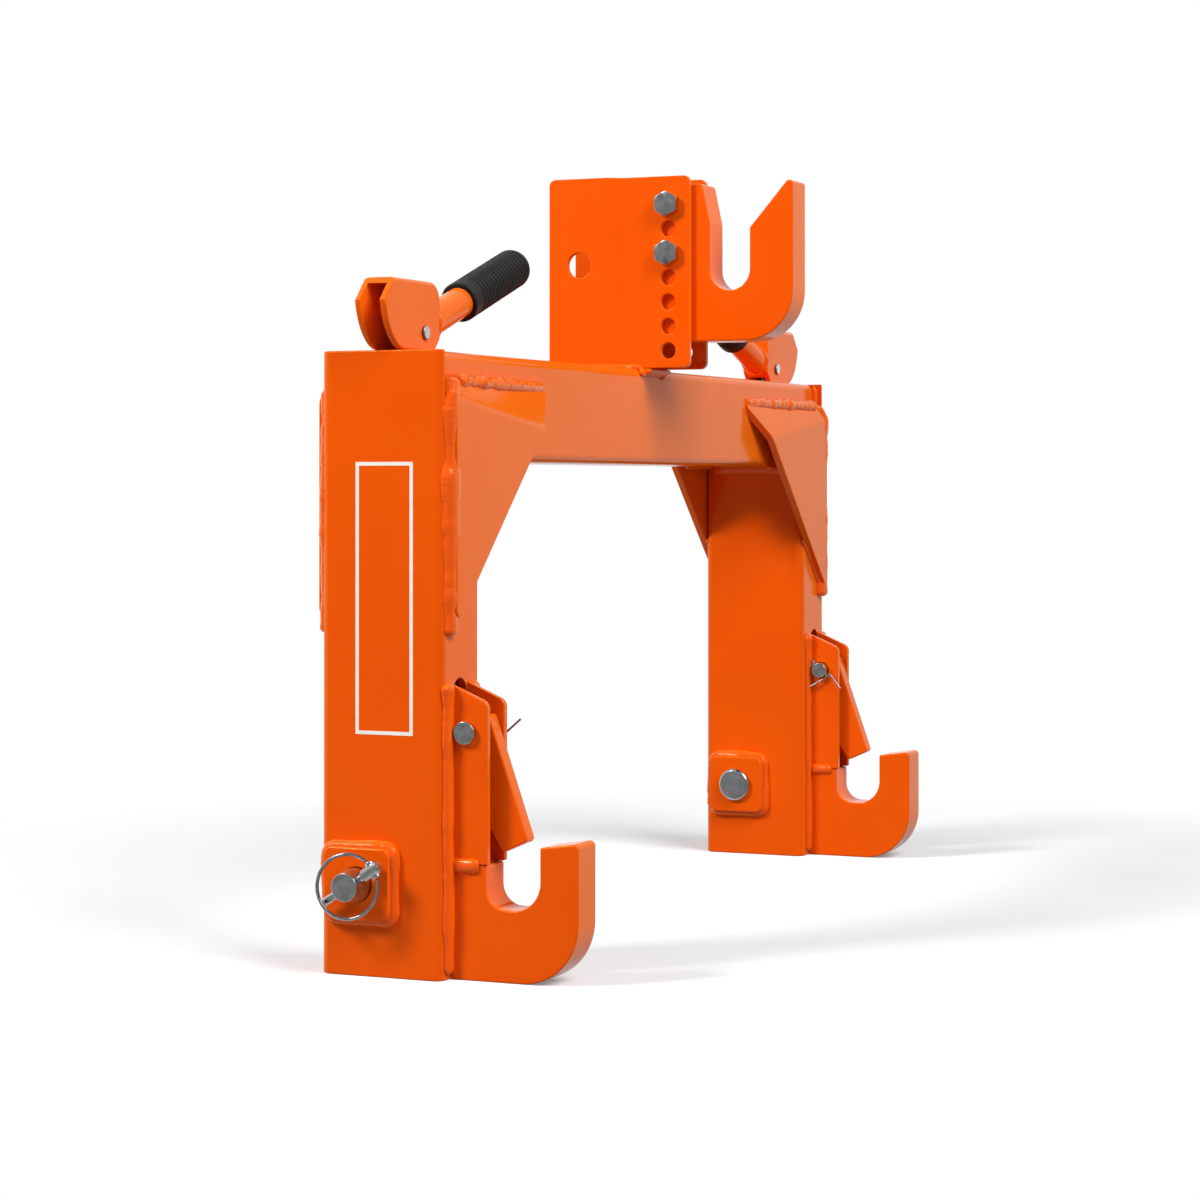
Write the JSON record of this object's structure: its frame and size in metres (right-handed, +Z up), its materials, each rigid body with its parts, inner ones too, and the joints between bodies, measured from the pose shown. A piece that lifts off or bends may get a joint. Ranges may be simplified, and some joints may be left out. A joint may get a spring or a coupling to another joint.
{
  "type": "three point quick hitch",
  "caption": "Welded quick coupler frame for a compact tractor: lower hook plates with drop latches, lift levers and an adjustable top hook.",
  "frame": {"origin": "middle of the footprint, on the surface that the uprights stand on", "axes": "+X along the crossbar, +Y towards the tractor (the hooks reach towards -Y), +Z up"},
  "size_m": [0.7842, 0.2032, 0.546],
  "materials": {
    "orange_paint": "glossy orange powder coat",
    "zinc_steel": "bright zinc plated steel",
    "chrome_wire": "polished plated spring wire",
    "black_rubber": "matte black ribbed rubber"
  },
  "bodies": {
    "frame": {"crossbar_tube": "orange_paint", "left_upright_tube": "orange_paint", "left_top_cap": "orange_paint", "left_gusset_front": "orange_paint", "left_gusset_rear": "orange_paint", "left_boss_outer": "orange_paint", "left_boss_inner": "orange_paint", "left_lower_hook": "orange_paint", "left_latch_cheek_outer": "orange_paint", "left_latch_cheek_inner": "orange_paint", "left_mast_cheek": "orange_paint", "left_link_pin": "zinc_steel", "left_linch_pin": "zinc_steel", "left_latch_pin": "zinc_steel", "left_cotter_pin": "zinc_steel", "right_upright_tube": "orange_paint", "right_top_cap": "orange_paint", "right_gusset_front": "orange_paint", "right_gusset_rear": "orange_paint", "right_boss_outer": "orange_paint", "right_boss_inner": "orange_paint", "right_lower_hook": "orange_paint", "right_latch_cheek_outer": "orange_paint", "right_latch_cheek_inner": "orange_paint", "right_mast_cheek": "orange_paint", "right_link_pin": "zinc_steel", "right_linch_pin": "zinc_steel", "right_latch_pin": "zinc_steel", "right_cotter_pin": "zinc_steel", "top_hook": "orange_paint", "mast_brace": "orange_paint", "mast_bolt_upper": "zinc_steel", "mast_bolt_lower": "zinc_steel", "mast_nut_upper": "zinc_steel", "mast_nut_lower": "zinc_steel"},
    "left_rod": {"left_pull_rod": "zinc_steel"},
    "left_lever": {"left_lever_channel": "orange_paint", "left_lever_tube": "orange_paint", "left_lever_grip": "black_rubber", "left_lever_pin": "zinc_steel"},
    "left_latch": {"left_latch": "orange_paint"},
    "left_ring": {"left_linch_ring": "chrome_wire"},
    "right_rod": {"right_pull_rod": "zinc_steel"},
    "right_lever": {"right_lever_channel": "orange_paint", "right_lever_tube": "orange_paint", "right_lever_grip": "black_rubber", "right_lever_pin": "zinc_steel"},
    "right_latch": {"right_latch": "orange_paint"},
    "right_ring": {"right_linch_ring": "chrome_wire"}
  },
  "joints": [
    {"name": "left_rod_lift", "type": "slide", "parent": "frame", "child": "left_rod", "axis": [0, 0, 1], "range_m": [0, 0.0391]},
    {"name": "left_lever_swing", "type": "hinge", "parent": "left_rod", "child": "left_lever", "pos_m": [-0.3314, 0.04905, 0.4152], "axis": [0, -1, 0], "range_deg": [0, 80]},
    {"name": "left_latch_swing", "type": "hinge", "parent": "frame", "child": "left_latch", "pos_m": [-0.3415, -0.00415, 0.158], "axis": [1, 0, 0], "range_deg": [0, 40.4]},
    {"name": "left_ring_swing", "type": "hinge", "parent": "frame", "child": "left_ring", "pos_m": [-0.3845, 0.04766, 0.07117], "axis": [0, 0.5446, 0.8387], "range_deg": [0, 110]},
    {"name": "right_rod_lift", "type": "slide", "parent": "frame", "child": "right_rod", "axis": [0, 0, 1], "range_m": [0, 0.0391]},
    {"name": "right_lever_swing", "type": "hinge", "parent": "right_rod", "child": "right_lever", "pos_m": [0.3314, 0.04905, 0.4152], "axis": [0, 1, 0], "range_deg": [0, 80]},
    {"name": "right_latch_swing", "type": "hinge", "parent": "frame", "child": "right_latch", "pos_m": [0.3415, -0.00415, 0.158], "axis": [1, 0, 0], "range_deg": [0, 40.4]},
    {"name": "right_ring_swing", "type": "hinge", "parent": "frame", "child": "right_ring", "pos_m": [0.3845, 0.04766, 0.07117], "axis": [0, -0.5446, -0.8387], "range_deg": [0, 110]}
  ],
  "couplings": [
    {"joint": "left_rod_lift", "follows": "left_lever_swing", "m_per_rad": 0.028},
    {"joint": "left_latch_swing", "follows": "left_lever_swing", "ratio": 0.5043},
    {"joint": "right_rod_lift", "follows": "right_lever_swing", "m_per_rad": 0.028},
    {"joint": "right_latch_swing", "follows": "right_lever_swing", "ratio": 0.5043}
  ]
}
